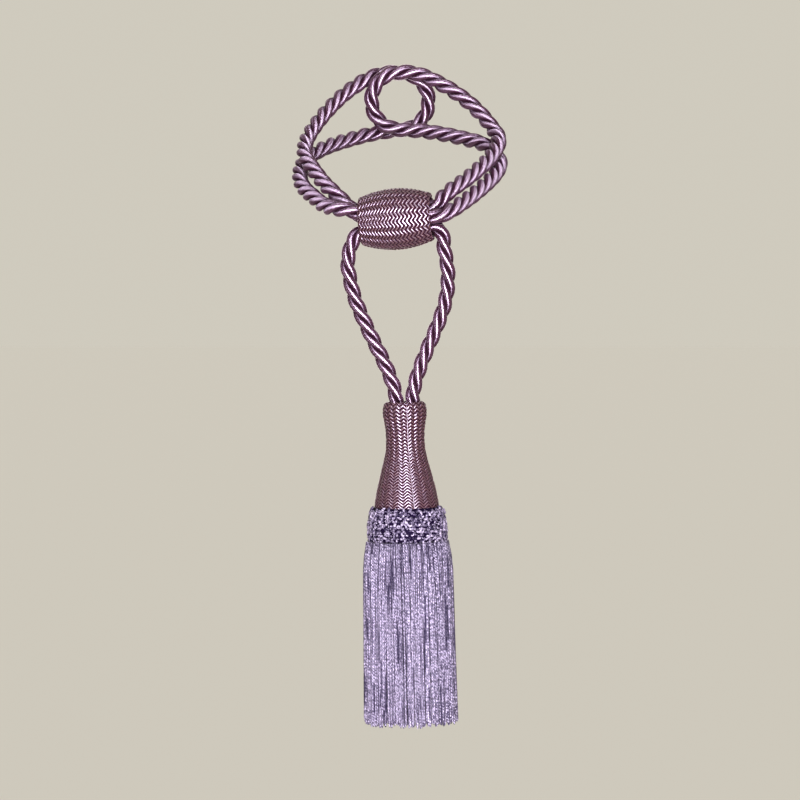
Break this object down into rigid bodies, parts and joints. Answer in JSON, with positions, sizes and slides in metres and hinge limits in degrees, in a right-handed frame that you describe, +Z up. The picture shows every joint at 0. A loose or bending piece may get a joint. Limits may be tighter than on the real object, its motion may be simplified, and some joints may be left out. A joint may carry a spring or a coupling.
{
  "type": "curtain tieback with tassel",
  "caption": "Twisted satin rope tieback that loops round a curtain onto a wall hook, with a braided slider and a hanging fringed tassel.",
  "frame": {"origin": "on the axis of the wall hook, midway between the two bights of rope that hang on it", "axes": "+Z up, +Y towards the wall, +X to the right as the front of the tieback is seen"},
  "size_m": [0.1467, 0.1816, 0.4459],
  "materials": {
    "satin_braid": "braided satin yarn over a turned wooden mould",
    "satin_rope": "satin rope, three strands in an S twist",
    "knotted_trim": "knotted two-tone yarn",
    "fringe_yarn": "fine twisted lilac yarn"
  },
  "bodies": {
    "root": {"slider": "satin_braid", "rope": "satin_rope", "tassel_head": "satin_braid", "collar": "knotted_trim", "skirt": "fringe_yarn"}
  },
  "joints": []
}
